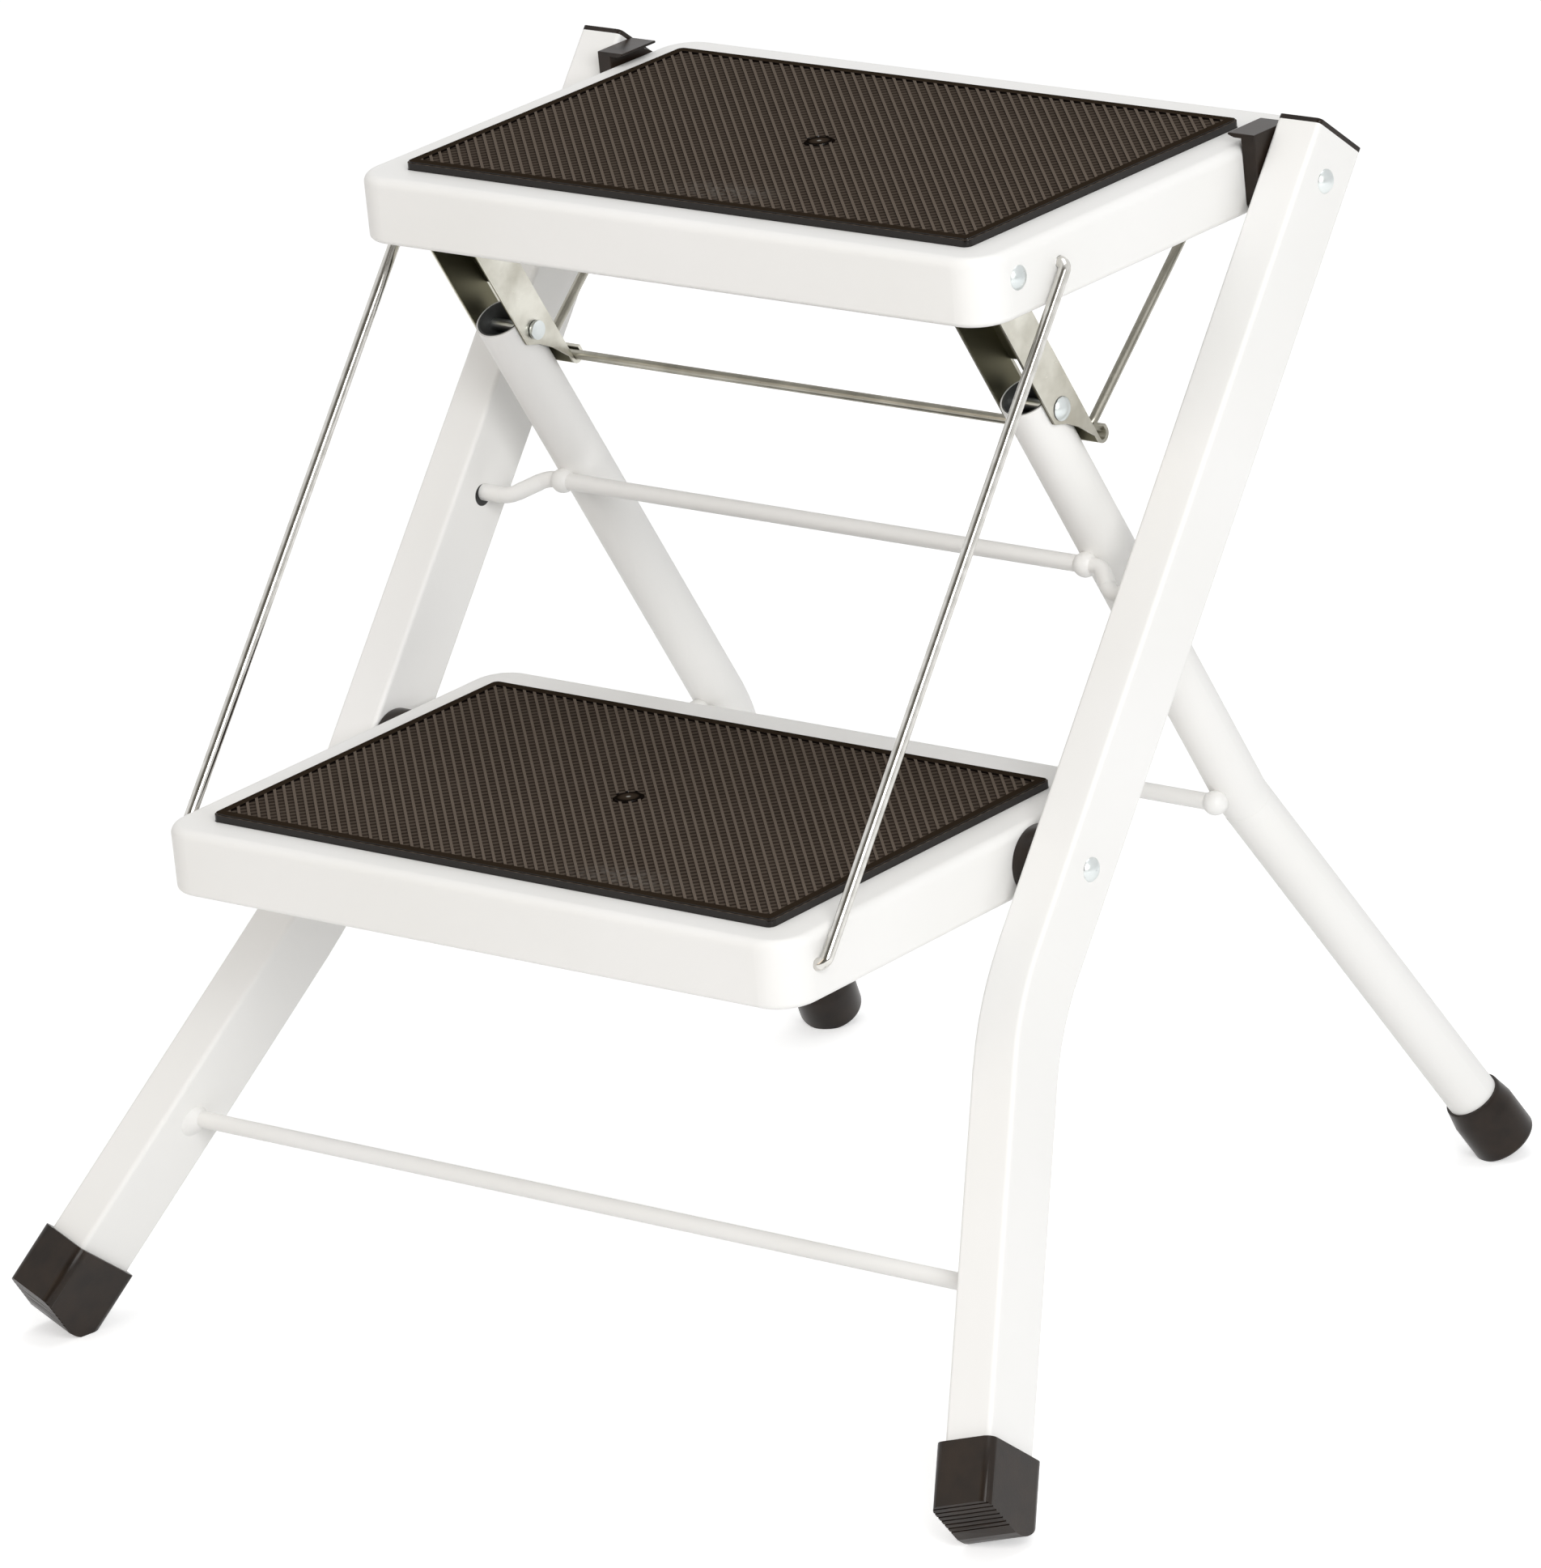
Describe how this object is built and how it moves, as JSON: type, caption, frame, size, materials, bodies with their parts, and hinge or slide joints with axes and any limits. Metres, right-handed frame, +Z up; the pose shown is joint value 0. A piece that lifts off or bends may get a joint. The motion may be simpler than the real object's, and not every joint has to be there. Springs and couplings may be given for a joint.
{
  "type": "step stool",
  "caption": "Folding step stool with splayed tube legs, ribbed treads, parallel link rods and channel lock brackets with a wire bail.",
  "frame": {"origin": "centre of the footprint, on the floor", "axes": "+X the stool's right side, +Y its rear, +Z up; open and locked at rest"},
  "size_m": [0.5196, 0.4551, 0.4703],
  "materials": {
    "paint": "gloss",
    "mat": "satin",
    "rubber": "matte",
    "bright_rod": "polished",
    "zinc": "galvanised"
  },
  "bodies": {
    "front_frame": {"front_leg_left": "paint", "front_leg_right": "paint", "front_crossbar": "paint", "front_foot_left": "rubber", "front_foot_right": "rubber", "leg_plug_left": "rubber", "leg_plug_right": "rubber", "top_hinge_rivet_left": "zinc", "top_hinge_rivet_right": "zinc", "low_hinge_rivet_left": "zinc", "low_hinge_rivet_right": "zinc"},
    "rear_frame": {"rear_leg_left": "paint", "rear_leg_right": "paint", "pivot_rod": "paint", "rear_crossbar": "paint", "rear_foot_left": "rubber", "rear_foot_right": "rubber", "bracket_rivet_left": "zinc", "bracket_rivet_right": "zinc"},
    "top_step": {"top_step_pan": "paint", "top_step_mat": "mat", "hinge_block_left": "rubber", "hinge_block_right": "rubber", "step_pin_left": "zinc", "step_pin_right": "zinc"},
    "lower_step": {"lower_step_pan": "paint", "lower_step_mat": "mat", "hinge_bush_left": "rubber", "hinge_bush_right": "rubber"},
    "lock_brackets": {"lock_bracket_left": "zinc", "lock_bracket_right": "zinc"},
    "bail": {"lock_bail": "zinc"},
    "left_link": {"link_rod_left": "bright_rod", "top_link_cap_left": "zinc", "low_link_cap_left": "zinc"},
    "right_link": {"link_rod_right": "bright_rod", "top_link_cap_right": "zinc", "low_link_cap_right": "zinc"}
  },
  "joints": [
    {"name": "rear_frame_fold", "type": "hinge", "parent": "front_frame", "child": "rear_frame", "pos_m": [0, 0.01962, 0.303], "axis": [-1, 0, 0], "range_deg": [0, 57]},
    {"name": "top_step_fold", "type": "hinge", "parent": "front_frame", "child": "top_step", "pos_m": [0, 0.13339, 0.4445], "axis": [1, 0, 0], "range_deg": [0, 38.18]},
    {"name": "lower_step_fold", "type": "hinge", "parent": "front_frame", "child": "lower_step", "pos_m": [0, -0.05033, 0.216], "axis": [1, 0, 0], "range_deg": [0, 38.18]},
    {"name": "bracket_fold", "type": "hinge", "parent": "rear_frame", "child": "lock_brackets", "pos_m": [0, 0.00959, 0.38199], "axis": [1, 0, 0], "range_deg": [0, 122.75]},
    {"name": "bail_swing", "type": "hinge", "parent": "lock_brackets", "child": "bail", "pos_m": [0, 0.03337, 0.36428], "axis": [-1, 0, 0], "range_deg": [0, 74.12]},
    {"name": "left_link_swing", "type": "hinge", "parent": "top_step", "child": "left_link", "pos_m": [0, -0.00141, 0.4471], "axis": [-1, 0, 0], "range_deg": [0, 38.18]},
    {"name": "right_link_swing", "type": "hinge", "parent": "top_step", "child": "right_link", "pos_m": [0, -0.00141, 0.4471], "axis": [-1, 0, 0], "range_deg": [0, 38.18]}
  ],
  "couplings": [
    {"joint": "top_step_fold", "follows": "rear_frame_fold", "ratio": 0.6695},
    {"joint": "lower_step_fold", "follows": "rear_frame_fold", "ratio": 0.6695},
    {"joint": "bracket_fold", "follows": "rear_frame_fold", "ratio": 2.1532},
    {"joint": "bail_swing", "follows": "rear_frame_fold", "ratio": 1.3},
    {"joint": "left_link_swing", "follows": "rear_frame_fold", "ratio": 0.6695},
    {"joint": "right_link_swing", "follows": "rear_frame_fold", "ratio": 0.6695}
  ]
}
